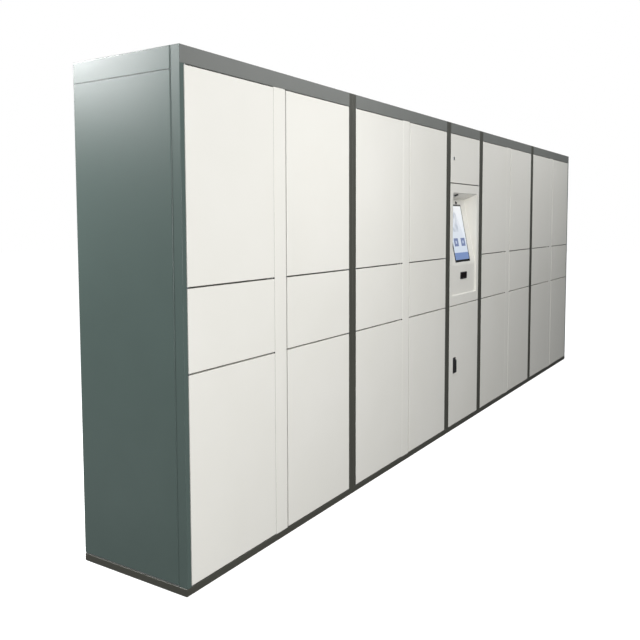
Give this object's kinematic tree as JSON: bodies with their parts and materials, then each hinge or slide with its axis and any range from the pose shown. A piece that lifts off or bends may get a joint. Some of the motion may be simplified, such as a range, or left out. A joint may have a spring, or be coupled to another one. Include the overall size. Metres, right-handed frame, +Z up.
{
  "type": "parcel locker bank",
  "caption": "Free-standing bank of steel parcel lockers: tall and short hinged doors on both sides of a terminal module with a touch screen, scanner and service doors.",
  "frame": {"origin": "middle of the bank and of its depth, handle included, on the floor", "axes": "+X to the right seen from the front, +Y to the back, +Z up; the doors face -Y"},
  "size_m": [5.89, 0.5924, 2.1201],
  "materials": {
    "door_paint": "smooth glossy powder coat, warm white",
    "case_paint": "fine-textured satin powder coat, greenish grey",
    "header_paint": "satin powder coat, mid grey",
    "frame_paint": "satin powder coat, dark grey",
    "inner_steel": "light grey powder coat over zinc-coated sheet",
    "bright_steel": "zinc-plated steel",
    "black_plastic": "moulded ABS, fine grain",
    "screen_glass": "flat toughened glass with a dark printed border",
    "rubber": "soft moulded rubber",
    "board_lacquer": "green lacquered circuit boards in a tray",
    "duct_plastic": "extruded PVC cable duct"
  },
  "bodies": {
    "root": {"end_panels": "case_paint", "end_bands": "case_paint", "side_panels": "inner_steel", "back_panels": "inner_steel", "roof_panels": "case_paint", "base_pans": "inner_steel", "header_fascias": "header_paint", "plinth_rails": "frame_paint", "front_posts": "frame_paint", "divider_strips": "door_paint", "door_stops": "frame_paint", "lock_faceplates": "bright_steel", "partition_walls": "inner_steel", "shelves": "inner_steel", "hinge_lugs": "bright_steel", "hinge_pins": "bright_steel", "lock_bodies": "black_plastic", "door_buffers": "rubber", "levelling_feet": "bright_steel", "joining_bolts": "bright_steel", "control_computer": "black_plastic", "power_supply": "inner_steel", "lock_control_boards": "board_lacquer", "wiring_trunking": "duct_plastic", "cable_gland": "black_plastic"},
    "door_a_left_bottom": {"door_a_left_bottom": "door_paint"},
    "door_a_left_middle": {"door_a_left_middle": "door_paint"},
    "door_a_left_top": {"door_a_left_top": "door_paint"},
    "door_a_right_bottom": {"door_a_right_bottom": "door_paint"},
    "door_a_right_middle": {"door_a_right_middle": "door_paint"},
    "door_a_right_top": {"door_a_right_top": "door_paint"},
    "door_b_left_bottom": {"door_b_left_bottom": "door_paint"},
    "door_b_left_middle": {"door_b_left_middle": "door_paint"},
    "door_b_left_top": {"door_b_left_top": "door_paint"},
    "door_b_right_bottom": {"door_b_right_bottom": "door_paint"},
    "door_b_right_middle": {"door_b_right_middle": "door_paint"},
    "door_b_right_top": {"door_b_right_top": "door_paint"},
    "door_c_left_bottom": {"door_c_left_bottom": "door_paint"},
    "door_c_left_middle": {"door_c_left_middle": "door_paint"},
    "door_c_left_top": {"door_c_left_top": "door_paint"},
    "door_c_right_bottom": {"door_c_right_bottom": "door_paint"},
    "door_c_right_middle": {"door_c_right_middle": "door_paint"},
    "door_c_right_top": {"door_c_right_top": "door_paint"},
    "door_d_left_bottom": {"door_d_left_bottom": "door_paint"},
    "door_d_left_middle": {"door_d_left_middle": "door_paint"},
    "door_d_left_top": {"door_d_left_top": "door_paint"},
    "door_d_right_bottom": {"door_d_right_bottom": "door_paint"},
    "door_d_right_middle": {"door_d_right_middle": "door_paint"},
    "door_d_right_top": {"door_d_right_top": "door_paint"},
    "service_door_top": {"service_door_top": "door_paint"},
    "kiosk": {"kiosk_panel": "door_paint", "recess_liner": "door_paint", "screen_module": "black_plastic", "screen_glass": "screen_glass", "scanner_module": "black_plastic", "camera_module": "black_plastic"},
    "service_door_bottom": {"service_door_bottom": "door_paint", "handle_plate": "black_plastic"},
    "handle": {"door_handle": "black_plastic"},
    "cam_lock": {"cam_lock": "bright_steel"}
  },
  "joints": [
    {"name": "hinge_a_left_bottom", "type": "hinge", "parent": "root", "child": "door_a_left_bottom", "pos_m": [-2.91, -0.27875, 0.44975], "axis": [0, 0, -1], "range_deg": [0, 90]},
    {"name": "hinge_a_left_middle", "type": "hinge", "parent": "root", "child": "door_a_left_middle", "pos_m": [-2.91, -0.27875, 1.0315], "axis": [0, 0, -1], "range_deg": [0, 90]},
    {"name": "hinge_a_left_top", "type": "hinge", "parent": "root", "child": "door_a_left_top", "pos_m": [-2.91, -0.27875, 1.61475], "axis": [0, 0, -1], "range_deg": [0, 90]},
    {"name": "hinge_a_right_bottom", "type": "hinge", "parent": "root", "child": "door_a_right_bottom", "pos_m": [-1.673, -0.27875, 0.44975], "axis": [0, 0, 1], "range_deg": [0, 90]},
    {"name": "hinge_a_right_middle", "type": "hinge", "parent": "root", "child": "door_a_right_middle", "pos_m": [-1.673, -0.27875, 1.0315], "axis": [0, 0, 1], "range_deg": [0, 90]},
    {"name": "hinge_a_right_top", "type": "hinge", "parent": "root", "child": "door_a_right_top", "pos_m": [-1.673, -0.27875, 1.61475], "axis": [0, 0, 1], "range_deg": [0, 90]},
    {"name": "hinge_b_left_bottom", "type": "hinge", "parent": "root", "child": "door_b_left_bottom", "pos_m": [-1.587, -0.27875, 0.44975], "axis": [0, 0, -1], "range_deg": [0, 90]},
    {"name": "hinge_b_left_middle", "type": "hinge", "parent": "root", "child": "door_b_left_middle", "pos_m": [-1.587, -0.27875, 1.0315], "axis": [0, 0, -1], "range_deg": [0, 90]},
    {"name": "hinge_b_left_top", "type": "hinge", "parent": "root", "child": "door_b_left_top", "pos_m": [-1.587, -0.27875, 1.61475], "axis": [0, 0, -1], "range_deg": [0, 90]},
    {"name": "hinge_b_right_bottom", "type": "hinge", "parent": "root", "child": "door_b_right_bottom", "pos_m": [-0.358, -0.27875, 0.44975], "axis": [0, 0, 1], "range_deg": [0, 90]},
    {"name": "hinge_b_right_middle", "type": "hinge", "parent": "root", "child": "door_b_right_middle", "pos_m": [-0.358, -0.27875, 1.0315], "axis": [0, 0, 1], "range_deg": [0, 90]},
    {"name": "hinge_b_right_top", "type": "hinge", "parent": "root", "child": "door_b_right_top", "pos_m": [-0.358, -0.27875, 1.61475], "axis": [0, 0, 1], "range_deg": [0, 90]},
    {"name": "hinge_c_left_bottom", "type": "hinge", "parent": "root", "child": "door_c_left_bottom", "pos_m": [0.358, -0.27875, 0.44975], "axis": [0, 0, -1], "range_deg": [0, 90]},
    {"name": "hinge_c_left_middle", "type": "hinge", "parent": "root", "child": "door_c_left_middle", "pos_m": [0.358, -0.27875, 1.0315], "axis": [0, 0, -1], "range_deg": [0, 90]},
    {"name": "hinge_c_left_top", "type": "hinge", "parent": "root", "child": "door_c_left_top", "pos_m": [0.358, -0.27875, 1.61475], "axis": [0, 0, -1], "range_deg": [0, 90]},
    {"name": "hinge_c_right_bottom", "type": "hinge", "parent": "root", "child": "door_c_right_bottom", "pos_m": [1.587, -0.27875, 0.44975], "axis": [0, 0, 1], "range_deg": [0, 90]},
    {"name": "hinge_c_right_middle", "type": "hinge", "parent": "root", "child": "door_c_right_middle", "pos_m": [1.587, -0.27875, 1.0315], "axis": [0, 0, 1], "range_deg": [0, 90]},
    {"name": "hinge_c_right_top", "type": "hinge", "parent": "root", "child": "door_c_right_top", "pos_m": [1.587, -0.27875, 1.61475], "axis": [0, 0, 1], "range_deg": [0, 90]},
    {"name": "hinge_d_left_bottom", "type": "hinge", "parent": "root", "child": "door_d_left_bottom", "pos_m": [1.673, -0.27875, 0.44975], "axis": [0, 0, -1], "range_deg": [0, 90]},
    {"name": "hinge_d_left_middle", "type": "hinge", "parent": "root", "child": "door_d_left_middle", "pos_m": [1.673, -0.27875, 1.0315], "axis": [0, 0, -1], "range_deg": [0, 90]},
    {"name": "hinge_d_left_top", "type": "hinge", "parent": "root", "child": "door_d_left_top", "pos_m": [1.673, -0.27875, 1.61475], "axis": [0, 0, -1], "range_deg": [0, 90]},
    {"name": "hinge_d_right_bottom", "type": "hinge", "parent": "root", "child": "door_d_right_bottom", "pos_m": [2.91, -0.27875, 0.44975], "axis": [0, 0, 1], "range_deg": [0, 90]},
    {"name": "hinge_d_right_middle", "type": "hinge", "parent": "root", "child": "door_d_right_middle", "pos_m": [2.91, -0.27875, 1.0315], "axis": [0, 0, 1], "range_deg": [0, 90]},
    {"name": "hinge_d_right_top", "type": "hinge", "parent": "root", "child": "door_d_right_top", "pos_m": [2.91, -0.27875, 1.61475], "axis": [0, 0, 1], "range_deg": [0, 90]},
    {"name": "hinge_service_top", "type": "hinge", "parent": "root", "child": "service_door_top", "pos_m": [0.272, -0.27875, 1.86625], "axis": [0, 0, 1], "range_deg": [0, 90]},
    {"name": "hinge_kiosk", "type": "hinge", "parent": "root", "child": "kiosk", "pos_m": [0.272, -0.27875, 1.283], "axis": [0, 0, 1], "range_deg": [0, 90]},
    {"name": "hinge_service_bottom", "type": "hinge", "parent": "root", "child": "service_door_bottom", "pos_m": [0.272, -0.27875, 0.44975], "axis": [0, 0, 1], "range_deg": [0, 90]},
    {"name": "handle_turn", "type": "hinge", "parent": "service_door_bottom", "child": "handle", "pos_m": [-0.1855, -0.28375, 0.478], "axis": [0, 1, 0], "range_deg": [0, 90]},
    {"name": "cam_lock_turn", "type": "hinge", "parent": "service_door_top", "child": "cam_lock", "pos_m": [-0.2215, -0.28375, 1.86625], "axis": [0, 1, 0], "range_deg": [0, 90]}
  ]
}
